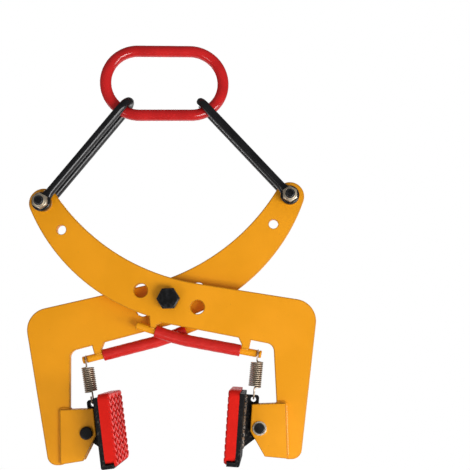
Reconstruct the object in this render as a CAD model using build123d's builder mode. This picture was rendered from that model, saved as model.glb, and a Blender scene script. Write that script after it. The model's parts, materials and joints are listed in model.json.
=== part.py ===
"""Scissor clamp for lifting stone: two crossed arms hung from a master link.

The master link carries two bent-bar links, each link straddles the eye of one arm, and the arms cross
at a bolted pivot. Pulling the eyes up closes the jaws, and each jaw swings a rubber-faced pad on a pin.
The origin is the crane hook's seat, on the inside of the master link's upper bar. X runs across the
jaws, Y from the front arm to the rear arm, and Z up. Lengths are millimetres, angles are degrees.
"""

import os
from math import acos, asin, ceil, cos, degrees, dist, pi, radians, sin, sqrt, tan

from build123d import *

# Master link: a closed oval of round bar, lying on its long side
ring_bar = 16.0
ring_inner_length = 146.3
ring_inner_height = 74.5
ring_seat_angle = 31.0

# Links: a round bar bent to a U, flattened to an eye at each end
link_bar = 12.0
link_gap = 18.0
link_reach = 166.4
link_eye_diameter = 26.0
link_eye_thickness = 10.5
link_bend_room = 1.75

# Link bolts, with a hexagon head behind and a lock nut in front
link_bolt = 12.0
link_hex = 19.0
link_head_height = 7.5
link_nut_height = 12.0
link_nut_collar = 3.6
link_nut_collar_inset = 0.1
link_nut_round = 1.5
link_bolt_tail = 2.0
link_spacer_diameter = 24.0
hex_chamfer = 0.8

# Arms: flat plates, crossing with a gap between them
plate = 10.0
plate_gap = 7.0
plate_edge = 0.8
eye_x = 168.0
eye_y = 136.3
eye_radius = 19.9
arm_upper_radius = 290.0
arm_lower_radius = 262.0
arm_top = 26.4
arm_top_slope = 10.9
arm_bottom = 33.5
arm_bottom_slope = 12.9
leg_outer = 200.4
leg_outer_slope = 8.6
leg_inner = 137.4
leg_inner_slope = 1.0
foot_drop = 218.3
foot_rounding = 0.47
shoulder_radius = 29.7
armpit_radius = 11.0
spare_hole = 13.0
spare_hole_x = 144.2
spare_hole_y = 98.8
lightening_hole = 19.0
lightening_reach = 40.0
lightening_slope = 18.2

# Arm pivot bolt
pivot_bolt = 18.0
pivot_hex = 27.0
pivot_head_height = 11.5
pivot_nut_height = 16.0
pivot_bolt_tail = 3.0
pivot_washer_diameter = 26.0
pivot_washer = 3.0
pivot_spacer_diameter = 40.0

# Handle: a slightly bent bar under each arm, welded to two tabs of the plate, with a rubber sleeve between
bar_diameter = 10.0
bar_elbow_x = 14.5
bar_elbow_drop = 55.3
bar_inner_slope = 19.6
bar_outer_slope = 12.4
bar_bend_radius = 200.0
bar_inner_reach = 63.5
bar_outer_reach = 110.0
tab_foot_height = 3.0
inner_tab_reach = 37.0
inner_tab_foot = 7.6
inner_tab_root = 17.4
inner_tab_lean = 5.1
inner_tab_rise = 5.4
outer_tab_reach = 81.4
outer_tab_foot = 10.8
outer_tab_root = 17.0
outer_tab_lean = 1.0
sleeve_diameter = 16.4
sleeve_round = 1.0
hook_groove_diameter = 7.0
hook_groove_width = 3.6
hook_groove_from_end = 5.0

# Jaw cheeks: a pair of plates welded on each leg, forming the fork for the pad
cheek = 6.0
cheek_front = 12.2
cheek_front_slope = 5.5
cheek_rear = 35.5
cheek_top = 32.0
cheek_bottom = 36.0
cheek_bottom_slope = 7.0
cheek_chamfer_start = 3.0
cheek_chamfer_slope = 28.0

# Pad pin, headed on one side and ringed on the other
pin_x = 116.5
pin_y = -176.1
pin_diameter = 14.0
pin_head_diameter = 17.5
pin_head_height = 4.5
pin_head_round = 1.8
pin_end_chamfer = 0.9
pin_ring_diameter = 18.5
pin_ring = 1.2
pin_groove_depth = 0.6
pin_tail = 4.5

# Pad: a lug and an angled backing plate that carry a treaded rubber block
pad_tilt = 5.8
pad_depth = 108.0
pad_back = 22.0
backing = 6.0
backing_top = 46.0
backing_bottom = 47.0
lip_reach = 11.0
lip = 5.5
heel_round = 2.7
lug = 8.0
lug_boss_radius = 13.0
lug_top = 43.0
lug_edge = 3.5
lug_foot = 29.0
lug_corner = 4.0
hook_hole = 7.0
hook_hole_back = 11.0
hook_hole_up = 37.0
rubber_back = 10.5
rubber_tread = 4.5
rubber_top = 50.0
rubber_toe = 45.5
pad_corner = 9.0
tread_depth = 2.2
tread_pitch = 8.6
tread_groove = 3.6
tread_wave = 14.0
tread_swing = 7.4
tread_border = 2.0

# Pad return springs: close-wound wire with a full loop at each end
spring_wire = 2.2
spring_diameter = 17.4
spring_pitch = 2.68
spring_turns = 12
loop_radius = 6.6
loop_start = -115.0
loop_bend = 4.0

# Clearances
running = 0.05
side_play = 0.2
bolt_play = 0.05
seat_play = 0.3
weld_gap = 0.1
sleeve_play = 0.05


def bearing(angle):
    """The unit vector at an angle from X, in the plane of a plate."""
    return Vector(cos(radians(angle)), sin(radians(angle)))


def crossing(angle_a, offset_a, angle_b, offset_b):
    """Where two edges cross, each given by its normal's bearing and its distance from the origin."""
    a = bearing(angle_a)
    b = bearing(angle_b)
    det = a.X * b.Y - a.Y * b.X
    return Vector((offset_a * b.Y - offset_b * a.Y) / det, (a.X * offset_b - b.X * offset_a) / det)


def circle_meeting(centre_a, radius_a, centre_b, radius_b):
    """The crossing of two circles that lies right of the line from the first centre to the second."""
    span = centre_b - centre_a
    reach = (radius_a**2 - radius_b**2 + span.length**2) / (2 * span.length)
    height = sqrt(radius_a**2 - reach**2)
    along = span.normalized()
    return centre_a + along * reach + Vector(along.Y, -along.X) * height


# Places that several pieces share
pitch = plate + plate_gap
ring_mid_radius = (ring_inner_height + ring_bar) / 2
ring_straight = ring_inner_length - ring_inner_height
ring_centre = -ring_inner_height / 2
seat_reach = ring_straight / 2 + ring_mid_radius * sin(radians(ring_seat_angle))
seat_height = ring_centre - ring_mid_radius * cos(radians(ring_seat_angle))
ring_turn = degrees(asin(pitch / 2 / seat_reach))
seat_x = seat_reach * cos(radians(ring_turn))
link_tilt = degrees(asin((eye_x - seat_x) / link_reach))
eye_height = seat_height - link_reach * cos(radians(link_tilt))
pivot_height = eye_height - eye_y
link_spread = link_gap + link_bar
link_apex = link_reach + (ring_bar + link_bar) / 2 + link_bend_room
link_spacer = link_spread / 2 - link_eye_thickness / 2 - plate / 2 - 2 * side_play
bar_elbow = Vector(bar_elbow_x, -bar_elbow_drop)
hook_reach = bar_outer_reach - hook_groove_from_end
sleeve_start = -inner_tab_reach + seat_play
sleeve_end = outer_tab_reach - seat_play
pad_pin = Vector(pin_x, pin_y)
fork = plate / 2 + cheek
rubber_face = pad_back + backing + rubber_back + rubber_tread
lip_tip = pad_back + backing + lip_reach

# Each arm has its own frame: X towards its jaw, Y up and Z out of the clamp, with the pivot at the origin
arm_frames = {
    "front": Plane(origin=(0, -pitch / 2, pivot_height), x_dir=(1, 0, 0), z_dir=(0, -1, 0)),
    "rear": Plane(origin=(0, pitch / 2, pivot_height), x_dir=(-1, 0, 0), z_dir=(0, 1, 0)),
}
jaw_sides = {"front": "right", "rear": "left"}
link_sides = {"front": "left", "rear": "right"}

os.makedirs("parts", exist_ok=True)


def keep(piece, label):
    """Label a finished piece and write it."""
    piece.part.label = label
    export_step(piece.part, f"parts/{label}.step")


def bar_point(reach, lift=0.0):
    """A point by the handle bar's axis: reach runs from the elbow, outwards if positive, and lift is up."""
    slope = bar_outer_slope if reach > 0 else bar_inner_slope
    return bar_elbow + bearing(-slope) * reach + bearing(90 - slope) * lift


def sweep_along_bar(frame, inner, outer, radius, mode=Mode.ADD):
    """A round bar of one radius along the handle's axis, from one reach to another."""
    corners = [frame.from_local_coords(point) for point in (bar_point(inner), bar_elbow, bar_point(outer))]
    with BuildLine() as path:
        FilletPolyline(*corners, radius=bar_bend_radius)
    with BuildSketch(path.line ^ 0) as section:
        Circle(radius)
    sweep(section.sketch, path=path.wire(), mode=mode)


def facing(frame, point, direction):
    """A plane at a point of an arm's frame, looking along a direction of that frame."""
    normal = frame.from_local_coords(direction) - frame.origin
    return Plane(origin=frame.from_local_coords(point), x_dir=frame.z_dir, z_dir=normal)


def make_master_link():
    """Oval of round bar, turned a little so that each link hangs in line with its arm."""
    turn = radians(ring_turn)
    along = (cos(turn), sin(turn), 0)
    plane = Plane(origin=(0, 0, ring_centre), x_dir=along, z_dir=(sin(turn), -cos(turn), 0))
    half = ring_straight / 2
    with BuildPart() as master_link:
        with BuildLine(plane) as path:
            lower = Line((-half, -ring_mid_radius), (half, -ring_mid_radius))
            end = JernArc(lower @ 1, lower % 1, ring_mid_radius, 180)
            upper = Line(end @ 1, (-half, ring_mid_radius))
            JernArc(upper @ 1, upper % 1, ring_mid_radius, 180)
        with BuildSketch(path.line ^ 0):
            Circle(ring_bar / 2)
        sweep(path=path.wire())
    keep(master_link, "master_link")


def link_plane(frame):
    """The plane of a link's two legs, with its origin at the arm's eye and Y up the link."""
    eye = frame.from_local_coords((-eye_x, eye_y, 0))
    lean = radians(link_tilt) * frame.x_dir.X
    return Plane(origin=eye, x_dir=(0, 1, 0), z_dir=(cos(lean), 0, -sin(lean)))


def make_link(frame, side):
    """Bent-bar link with an eye on each leg."""
    plane = link_plane(frame)
    cross = Plane(origin=plane.origin, x_dir=(1, 0, 0), z_dir=(0, -1, 0))
    half = link_spread / 2
    with BuildPart() as link:
        with BuildLine(plane) as path:
            leg = Line((-half, 0), (-half, link_apex - half))
            bend = JernArc(leg @ 1, leg % 1, half, -180)
            Line(bend @ 1, (half, 0))
        with BuildSketch(path.line ^ 0):
            Circle(link_bar / 2)
        sweep(path=path.wire())
        for leg_y in (-half, half):
            with BuildSketch(cross.offset(leg_y)):
                Circle(link_eye_diameter / 2)
            extrude(amount=link_bar, both=True, mode=Mode.SUBTRACT)
            with BuildSketch(cross.offset(leg_y)):
                Circle(link_eye_diameter / 2)
            extrude(amount=link_eye_thickness / 2, both=True)
        with BuildSketch(cross):
            Circle(link_bolt / 2 + bolt_play)
        extrude(amount=link_spread, both=True, mode=Mode.SUBTRACT)
    keep(link, f"{side}_link")


def make_link_fasteners(frame, side):
    """The bolt, lock nut and spacer rings of a link: head behind, nut in front on both sides."""
    eye = frame.from_local_coords((-eye_x, eye_y, 0))
    front = Plane(origin=eye, x_dir=(1, 0, 0), z_dir=(0, -1, 0))
    face = link_spread / 2 + link_eye_thickness / 2
    with BuildPart() as bolt:
        with BuildSketch(front.offset(-face)):
            RegularPolygon(link_hex / 2, 6, major_radius=False, rotation=30)
        extrude(amount=-link_head_height)
        with BuildSketch(front.offset(-face)):
            Circle(link_bolt / 2)
        extrude(amount=2 * face + link_nut_height + link_bolt_tail)
        chamfer(bolt.faces().sort_by(Axis.Y)[-1].edges(), hex_chamfer)
    keep(bolt, f"{side}_link_bolt")
    with BuildPart() as nut:
        with BuildSketch(front.offset(face)):
            RegularPolygon(link_hex / 2, 6, major_radius=False, rotation=30)
        extrude(amount=link_nut_height - link_nut_collar)
        with BuildSketch(front.offset(face)):
            Circle(link_hex / 2 - link_nut_collar_inset)
        extrude(amount=link_nut_height)
        fillet(nut.faces().sort_by(Axis.Y)[0].edges(), link_nut_round)
        with BuildSketch(front):
            Circle(link_bolt / 2 + bolt_play)
        extrude(amount=2 * face, both=True, mode=Mode.SUBTRACT)
    keep(nut, f"{side}_link_nut")
    with BuildPart() as spacers:
        for start in (plate / 2 + side_play, -plate / 2 - side_play - link_spacer):
            with BuildSketch(front.offset(start)):
                Circle(link_spacer_diameter / 2)
                Circle(link_bolt / 2 + bolt_play, mode=Mode.SUBTRACT)
            extrude(amount=link_spacer)
    keep(spacers, f"{side}_link_spacers")


def arm_outline():
    """The plate's edge: a curved upper arm from the eye, a beam past the pivot and a leg to the foot."""
    top_normal = 90 - arm_top_slope
    bottom_normal = 90 - arm_bottom_slope
    shoulder = crossing(top_normal, arm_top, -leg_outer_slope, leg_outer)
    toe_outer = crossing(-leg_outer_slope, leg_outer, -90, foot_drop)
    toe_inner = crossing(leg_inner_slope, leg_inner, -90, foot_drop)
    armpit = crossing(leg_inner_slope, leg_inner, bottom_normal, -arm_bottom)
    toe_radius = foot_rounding * (toe_outer - toe_inner).length
    eye = Vector(-eye_x, eye_y)

    # The upper curve touches the beam's top edge and the outside of the eye
    offset_edge = bearing(top_normal) * (arm_top + arm_upper_radius)
    run = bearing(-arm_top_slope)
    from_eye = offset_edge - eye
    back = from_eye.dot(run)
    chord = (arm_upper_radius + eye_radius) ** 2 - from_eye.length**2 + back**2
    upper_centre = offset_edge + run * (sqrt(chord) - back)
    beam_start = upper_centre - bearing(top_normal) * arm_upper_radius
    eye_top = eye + (upper_centre - eye).normalized() * eye_radius

    # The lower curve runs from the inner tab, a little above its root, round the inside of the eye
    tab_root = inner_tab_corner()
    curve_start = inner_tab_corner(inner_tab_rise)
    lower_centre = circle_meeting(curve_start, arm_lower_radius, eye, arm_lower_radius - eye_radius)
    eye_side = eye + (eye - lower_centre).normalized() * eye_radius
    eye_end = eye + eye.normalized() * eye_radius
    lower_way = ((curve_start + eye_side) * 0.5 - lower_centre).normalized()
    upper_way = ((eye_top + beam_start) * 0.5 - upper_centre).normalized()

    FilletPolyline(
        beam_start, shoulder, toe_outer, toe_inner, armpit, tab_root,
        radius=[shoulder_radius, toe_radius, toe_radius, armpit_radius],
    )
    Line(tab_root, curve_start)
    ThreePointArc(curve_start, lower_centre + lower_way * arm_lower_radius, eye_side)
    ThreePointArc(eye_side, eye_end, eye_top)
    ThreePointArc(eye_top, upper_centre + upper_way * arm_upper_radius, beam_start)


def beam_point(reach, lift=0.0):
    """A point of the beam's lower edge, above a distance along the handle bar, raised into the plate."""
    edge_slope = tan(radians(arm_bottom_slope))
    x = bar_point(reach).X
    return Vector(x, -arm_bottom / cos(radians(arm_bottom_slope)) - edge_slope * x + lift)


def inner_tab_corner(rise=0.0):
    """The inner end of the beam's lower edge, at the root of the inner tab, raised into the plate."""
    return beam_point(-inner_tab_reach - inner_tab_foot / 2 - inner_tab_root / 2 + inner_tab_lean, rise)


def tab_outline(near, far, root, lean):
    """A tab that narrows from the beam to the handle bar; near is its side against the sleeve."""
    inward = 1 if far > near else -1
    root_near = (near + far - inward * root) / 2 + lean
    root_far = (near + far + inward * root) / 2 + lean
    depth = plate / 2
    Polyline(
        bar_point(near, tab_foot_height),
        bar_point(near, sleeve_diameter / 2 + seat_play),
        beam_point(root_near),
        beam_point(root_near, depth),
        beam_point(root_far, depth),
        beam_point(root_far),
        bar_point(far, tab_foot_height),
        close=True,
    )


def make_arm(frame, side):
    """One arm plate, with its eye, pivot, spare and lightening holes, and the two tabs of its handle."""
    with BuildPart() as arm:
        with BuildSketch(frame):
            with BuildLine():
                arm_outline()
            make_face()
            with BuildLine():
                outer_tab_end = outer_tab_reach + outer_tab_foot
                tab_outline(outer_tab_reach, outer_tab_end, outer_tab_root, outer_tab_lean)
            make_face()
            with BuildLine():
                inner_tab_end = inner_tab_reach + inner_tab_foot
                tab_outline(-inner_tab_reach, -inner_tab_end, inner_tab_root, inner_tab_lean)
            make_face()
            Circle(pivot_bolt / 2 + running, mode=Mode.SUBTRACT)
            with Locations((-eye_x, eye_y)):
                Circle(link_bolt / 2 + running, mode=Mode.SUBTRACT)
            with Locations((-spare_hole_x, spare_hole_y)):
                Circle(spare_hole / 2, mode=Mode.SUBTRACT)
            with PolarLocations(lightening_reach, 2, start_angle=-lightening_slope):
                Circle(lightening_hole / 2, mode=Mode.SUBTRACT)
        extrude(amount=plate / 2, both=True)
        chamfer([face.outer_wire().edges() for face in arm.faces().filter_by(Axis.Y)], plate_edge)
        sweep_along_bar(frame, -bar_inner_reach, bar_outer_reach, bar_diameter / 2 + weld_gap, Mode.SUBTRACT)
    keep(arm, f"{side}_arm")


def make_handle(frame, side):
    """The welded handle bar with its hook groove, and the rubber sleeve on it."""
    with BuildPart() as bar:
        sweep_along_bar(frame, -bar_inner_reach, bar_outer_reach, bar_diameter / 2)
        groove = bar_point(hook_reach - hook_groove_width / 2)
        with BuildSketch(facing(frame, groove, bearing(-bar_outer_slope))):
            Circle(bar_diameter)
            Circle(hook_groove_diameter / 2, mode=Mode.SUBTRACT)
        extrude(amount=hook_groove_width, mode=Mode.SUBTRACT)
    keep(bar, f"{side}_handle_bar")
    with BuildPart() as sleeve:
        sweep_along_bar(frame, sleeve_start, sleeve_end, sleeve_diameter / 2)
        fillet(sleeve.faces().filter_by(GeomType.PLANE).edges(), sleeve_round)
        sweep_along_bar(frame, sleeve_start, sleeve_end, bar_diameter / 2 + sleeve_play, Mode.SUBTRACT)
    keep(sleeve, f"{side}_handle_sleeve")


def cheek_outline():
    """A cheek seen from the front: square behind, its lower front corner cut back for the pad's swing."""
    top_front = crossing(180 - cheek_front_slope, cheek_front, 90, cheek_top)
    chin = crossing(180 - cheek_front_slope, cheek_front, -90, cheek_chamfer_start)
    heel = crossing(-90 - cheek_bottom_slope, cheek_bottom, 0, cheek_rear)
    slant = bearing(-90 + cheek_chamfer_slope)
    below = bearing(-90 - cheek_bottom_slope)
    toe = chin + slant * ((cheek_bottom - chin.dot(below)) / slant.dot(below))
    corners = [top_front, chin, toe, heel, Vector(cheek_rear, cheek_top)]
    Polyline(*[pad_pin + corner for corner in corners], close=True)


def make_cheeks(frame, side):
    """The outer and inner cheek of one jaw."""
    for name, start in (("outer", plate / 2), ("inner", -plate / 2 - cheek)):
        with BuildPart() as cheek_plate:
            with BuildSketch(frame.offset(start)):
                with BuildLine():
                    cheek_outline()
                make_face()
                with Locations(pad_pin):
                    Circle(pin_diameter / 2 + bolt_play, mode=Mode.SUBTRACT)
            extrude(amount=cheek)
        keep(cheek_plate, f"{side}_{name}_cheek")


def make_pad_pin(frame, side):
    """The headed pin that a pad swings on, and the ring that keeps it."""
    ring_seat = fork + side_play
    with BuildPart() as pin:
        with BuildSketch(frame.offset(-fork)):
            with Locations(pad_pin):
                Circle(pin_head_diameter / 2)
        extrude(amount=-pin_head_height)
        fillet(pin.edges().group_by(Axis.Y)[0 if frame.z_dir.Y > 0 else -1], pin_head_round)
        with BuildSketch(frame.offset(-fork)):
            with Locations(pad_pin):
                Circle(pin_diameter / 2)
        extrude(amount=2 * fork + pin_tail)
        chamfer(pin.edges().group_by(Axis.Y)[-1 if frame.z_dir.Y > 0 else 0], pin_end_chamfer)
        with BuildSketch(frame.offset(ring_seat - bolt_play)):
            with Locations(pad_pin):
                Circle(pin_head_diameter / 2)
                Circle(pin_diameter / 2 - pin_groove_depth, mode=Mode.SUBTRACT)
        extrude(amount=pin_ring + 2 * bolt_play, mode=Mode.SUBTRACT)
    keep(pin, f"{side}_pad_pin")
    with BuildPart() as ring:
        with BuildSketch(frame.offset(ring_seat)):
            with Locations(pad_pin):
                Circle(pin_ring_diameter / 2)
                Circle(pin_diameter / 2 - pin_groove_depth + bolt_play, mode=Mode.SUBTRACT)
        extrude(amount=pin_ring)
    keep(ring, f"{side}_pin_ring")


def pad_frame(frame):
    """A pad's own frame on its pin: X away from the stone, Y up the pad and Z as in the arm's frame."""
    across = frame.from_local_coords(bearing(-pad_tilt)) - frame.origin
    return Plane(origin=frame.from_local_coords(pad_pin), x_dir=across, z_dir=frame.z_dir)


def make_pad_lug(frame, side):
    """The lug that hangs on the pin, with the ear for the spring."""
    with BuildPart() as pad_lug:
        with BuildSketch(pad_frame(frame)) as profile:
            with BuildLine():
                Polyline(
                    (-pad_back, lug_top), (-lug_edge, lug_top), (-lug_edge, -lug_boss_radius),
                    (-pad_back, -lug_foot), close=True,
                )
            make_face()
            fillet(profile.vertices().group_by(Axis.Y)[-1].sort_by(Axis.X)[-1], lug_corner)
            Circle(lug_boss_radius)
            Circle(pin_diameter / 2 + running, mode=Mode.SUBTRACT)
            with Locations((-hook_hole_back, hook_hole_up)):
                Circle(hook_hole / 2, mode=Mode.SUBTRACT)
        extrude(amount=lug / 2, both=True)
    keep(pad_lug, f"{side}_pad_lug")


def make_pad_plate(frame, side):
    """The backing plate, with a lip under the rubber."""
    with BuildPart() as pad_plate:
        with BuildSketch(pad_frame(frame)):
            with BuildLine():
                Polyline(
                    (-pad_back, backing_top), (-pad_back, -backing_bottom), (-lip_tip, -backing_bottom),
                    (-lip_tip, -backing_bottom + lip), (-pad_back - backing, -backing_bottom + lip),
                    (-pad_back - backing, backing_top), close=True,
                )
            make_face()
        extrude(amount=pad_depth / 2, both=True)
        heel = pad_plate.edges().filter_by(Axis.Y).group_by(Axis.Z)[0]
        fillet(heel.sort_by(Axis.X)[-1 if frame.x_dir.X > 0 else 0], heel_round)
    keep(pad_plate, f"{side}_pad_plate")


def tread_line(height):
    """One zigzag of the tread, centred on a height: the corners of its middle line, past both side edges."""
    count = 2 * ceil(pad_depth / 2 / tread_wave)
    return [(tread_wave * (i - count / 2), height + tread_swing / 2 * (-1) ** i) for i in range(count + 1)]


def make_pad_rubber(frame, side):
    """The rubber block: its back sits on the lip and its treaded face hangs in front of the lip."""
    local = pad_frame(frame)
    low = -backing_bottom + lip
    front = Plane(origin=local.from_local_coords((-rubber_face, 0, 0)), x_dir=local.z_dir, z_dir=-local.x_dir)
    first_row = rubber_top - tread_border - (tread_swing + tread_groove) / 2
    rows = ceil((first_row + rubber_toe) / tread_pitch)
    with BuildPart() as rubber:
        with BuildSketch(local):
            with BuildLine():
                Polyline(
                    (-pad_back - backing, rubber_top), (-pad_back - backing, low),
                    (-lip_tip - seat_play, low), (-lip_tip - seat_play, -rubber_toe),
                    (-rubber_face, -rubber_toe), (-rubber_face, rubber_top), close=True,
                )
            make_face()
        extrude(amount=pad_depth / 2, both=True)
        with BuildSketch(front):
            with Locations((0, (rubber_top - rubber_toe) / 2)):
                RectangleRounded(pad_depth, rubber_top + rubber_toe, pad_corner)
        extrude(amount=-(rubber_face - pad_back), mode=Mode.INTERSECT)
        with BuildSketch(front):
            for row in range(rows + 1):
                with BuildLine():
                    Polyline(*tread_line(first_row - row * tread_pitch))
                trace(line_width=tread_groove)
        extrude(amount=-tread_depth, mode=Mode.SUBTRACT)
    keep(rubber, f"{side}_pad_rubber")


def biarc(start, start_way, end, end_way):
    """Two arcs that join two points and keep the given directions there."""
    gap = end - start
    both = start_way + end_way
    spread = 2 * (1 - start_way.dot(end_way))
    reach = (sqrt(gap.dot(both) ** 2 + spread * gap.dot(gap)) - gap.dot(both)) / spread
    first = start + start_way * reach
    last = end - end_way * reach
    middle = (first + last) * 0.5
    TangentArc(start, middle, tangent=start_way)
    TangentArc(middle, end, tangent=(last - first).normalized())


def spring_stations(length):
    """Points and directions along a spring's wire, from one free end to the other.

    The loops' far sides are at Z 0 and at the given length, and X and Z lie in the plate's plane.
    """
    radius = (spring_diameter - spring_wire) / 2
    join = degrees(acos(-loop_bend / radius))
    turns = spring_turns + 1 - 2 * join / 360
    start = (length - turns * spring_pitch) / 2
    climb = spring_pitch / (2 * pi * radius)
    halves = round(turns * 2)

    lower = []
    for angle in (loop_start, loop_start / 2, 0.0, 45.0, 90.0):
        turn = radians(angle)
        point = Vector(0, loop_radius * sin(turn), loop_radius * (1 - cos(turn)))
        lower.append((point, Vector(0, cos(turn), sin(turn))))
    lower.append((Vector(0, loop_radius, start - loop_bend), Vector(0, 0, 1)))
    upper = [(Vector(p.X, -p.Y, length - p.Z), Vector(-w.X, w.Y, w.Z)) for p, w in reversed(lower)]
    coil = []
    for i in range(halves + 1):
        turn = radians(join + 360 * turns * i / halves)
        point = Vector(radius * cos(turn), radius * sin(turn), start + spring_pitch * turns * i / halves)
        coil.append((point, Vector(-sin(turn), cos(turn), climb).normalized()))
    return lower + coil + upper


def least_gap(wire):
    """The least clear distance between stretches of the spring's wire that aren't neighbours along it."""
    count = 900
    points = [tuple(wire.position_at(i / count)) for i in range(count + 1)]
    apart = int(count * 2 * pi * spring_wire / wire.length)
    pairs = [(a, b) for i, a in enumerate(points) for b in points[i + apart:]]
    return min(dist(a, b) for a, b in pairs) - spring_wire


def make_spring(frame, side):
    """The spring from the handle bar's groove to the ear of the pad's lug."""
    local = pad_frame(frame)
    hole = frame.to_local_coords(local.from_local_coords((-hook_hole_back, hook_hole_up, 0)))
    groove = bar_point(hook_reach)
    way = Vector(groove.X - hole.X, groove.Y - hole.Y).normalized()
    mouth_rise = loop_radius - sqrt(loop_radius**2 - (lug / 2) ** 2)
    lower_end = hole + way * (hook_hole / 2 - spring_wire / 2 - seat_play - mouth_rise)
    upper_end = groove + way * (hook_groove_diameter / 2 + spring_wire / 2 + seat_play)
    axis = frame.from_local_coords(way) - frame.origin
    place = Plane(origin=frame.from_local_coords(lower_end), x_dir=frame.z_dir.cross(axis), z_dir=axis)
    stations = spring_stations((upper_end - Vector(lower_end.X, lower_end.Y)).length)
    world = [
        (place.from_local_coords(point), place.from_local_coords(heading) - place.origin)
        for point, heading in stations
    ]
    with BuildPart() as spring:
        with BuildLine() as path:
            for (start, start_way), (end, end_way) in zip(world, world[1:]):
                if (end - start).normalized().dot(start_way) > 1 - 1e-9:
                    Line(start, end)
                else:
                    biarc(start, start_way, end, end_way)
        with BuildSketch(Plane(origin=world[0][0], x_dir=place.x_dir, z_dir=world[0][1])):
            Circle(spring_wire / 2)
        sweep(path=path.wire())
    wire = path.wire()
    print(f"{side} spring: wire {wire.length:.1f} mm, least gap to itself {least_gap(wire):.2f} mm")
    keep(spring, f"{side}_spring")


def make_pivot(frame):
    """The arms' pivot: bolt, washers and nut, and the ring that spaces the two plates."""
    front_face = plate / 2 + pivot_washer
    rear_plate = -pitch - plate / 2
    rear_face = rear_plate - side_play - pivot_washer
    with BuildPart() as bolt:
        with BuildSketch(frame.offset(front_face)):
            RegularPolygon(pivot_hex / 2, 6, major_radius=False, rotation=0)
        extrude(amount=pivot_head_height)
        crown = bolt.faces().sort_by(Axis.Y)[0]
        chamfer(crown.edges(), hex_chamfer)
        with BuildSketch(frame.offset(front_face)):
            Circle(pivot_bolt / 2)
        extrude(amount=rear_face - pivot_nut_height - pivot_bolt_tail - front_face)
    keep(bolt, "pivot_bolt")
    with BuildPart() as nut:
        with BuildSketch(frame.offset(rear_face)):
            RegularPolygon(pivot_hex / 2, 6, major_radius=False, rotation=0)
            Circle(pivot_bolt / 2 + bolt_play, mode=Mode.SUBTRACT)
        extrude(amount=-pivot_nut_height)
    keep(nut, "pivot_nut")
    with BuildPart() as washers:
        for start in (plate / 2, rear_face):
            with BuildSketch(frame.offset(start)):
                Circle(pivot_washer_diameter / 2)
                Circle(pivot_bolt / 2 + bolt_play, mode=Mode.SUBTRACT)
            extrude(amount=pivot_washer)
    keep(washers, "pivot_washers")
    with BuildPart() as spacer:
        with BuildSketch(frame.offset(-plate / 2)):
            Circle(pivot_spacer_diameter / 2)
            Circle(pivot_bolt / 2 + bolt_play, mode=Mode.SUBTRACT)
        extrude(amount=-(plate_gap - side_play))
    keep(spacer, "pivot_spacer")


make_master_link()
make_pivot(arm_frames["front"])
for arm_side, arm_frame in arm_frames.items():
    make_link(arm_frame, link_sides[arm_side])
    make_link_fasteners(arm_frame, link_sides[arm_side])
    make_arm(arm_frame, arm_side)
    make_handle(arm_frame, arm_side)
    make_cheeks(arm_frame, jaw_sides[arm_side])
    make_pad_pin(arm_frame, jaw_sides[arm_side])
    make_pad_lug(arm_frame, jaw_sides[arm_side])
    make_pad_plate(arm_frame, jaw_sides[arm_side])
    make_pad_rubber(arm_frame, jaw_sides[arm_side])
    make_spring(arm_frame, jaw_sides[arm_side])

print(f"pivot at z {pivot_height:.2f}, eyes at z {eye_height:.2f}, links tilt {link_tilt:.2f}")
print(f"link seats at x {seat_x:.2f}, z {seat_height:.2f}; master link turned {ring_turn:.2f}")
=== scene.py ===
"""Looks of a scissor clamp for lifting stone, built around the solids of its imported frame.

Crossed plate arms hang by bent-bar links from an oval master link and carry sprung, rubber-faced
pads. The file is laid out as an add-on and is run as a script. Lengths are metres, X runs across
the jaws, Y from the front arm to the rear arm and Z up. The rear arm and its jaw are the front ones
turned half round about Z, so most pieces are worked out for the front arm and turned.
"""

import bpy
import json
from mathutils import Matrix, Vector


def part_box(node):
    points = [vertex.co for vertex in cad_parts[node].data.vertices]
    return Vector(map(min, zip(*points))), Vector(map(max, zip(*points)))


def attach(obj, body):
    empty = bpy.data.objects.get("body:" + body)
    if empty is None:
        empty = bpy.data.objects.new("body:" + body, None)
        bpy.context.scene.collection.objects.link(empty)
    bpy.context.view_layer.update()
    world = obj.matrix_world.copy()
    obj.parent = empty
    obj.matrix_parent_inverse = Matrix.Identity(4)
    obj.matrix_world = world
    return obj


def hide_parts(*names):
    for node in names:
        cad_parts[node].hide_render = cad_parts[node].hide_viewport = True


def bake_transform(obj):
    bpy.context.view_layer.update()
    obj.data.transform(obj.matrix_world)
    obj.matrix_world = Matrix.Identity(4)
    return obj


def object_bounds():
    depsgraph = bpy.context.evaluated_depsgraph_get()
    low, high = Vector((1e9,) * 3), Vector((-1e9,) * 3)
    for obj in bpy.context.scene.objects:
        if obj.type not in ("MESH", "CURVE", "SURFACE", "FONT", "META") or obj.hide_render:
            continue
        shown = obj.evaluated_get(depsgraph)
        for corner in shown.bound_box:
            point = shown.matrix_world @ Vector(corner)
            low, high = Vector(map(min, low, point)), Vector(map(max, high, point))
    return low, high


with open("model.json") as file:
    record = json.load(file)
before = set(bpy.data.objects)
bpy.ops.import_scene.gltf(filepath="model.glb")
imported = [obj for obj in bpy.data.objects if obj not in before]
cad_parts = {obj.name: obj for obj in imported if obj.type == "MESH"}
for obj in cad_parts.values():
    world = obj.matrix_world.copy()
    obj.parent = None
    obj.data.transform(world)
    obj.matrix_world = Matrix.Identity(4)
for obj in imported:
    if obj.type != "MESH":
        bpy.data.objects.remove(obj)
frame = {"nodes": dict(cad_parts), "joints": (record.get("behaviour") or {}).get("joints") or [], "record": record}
cad_box = [list(corner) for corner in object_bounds()]

import json

import bmesh
import bpy
import numpy as np
from bpy.props import FloatProperty, FloatVectorProperty, IntProperty, PointerProperty
from bpy.types import Operator, Panel, PropertyGroup
from mathutils import Matrix, Vector

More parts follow.
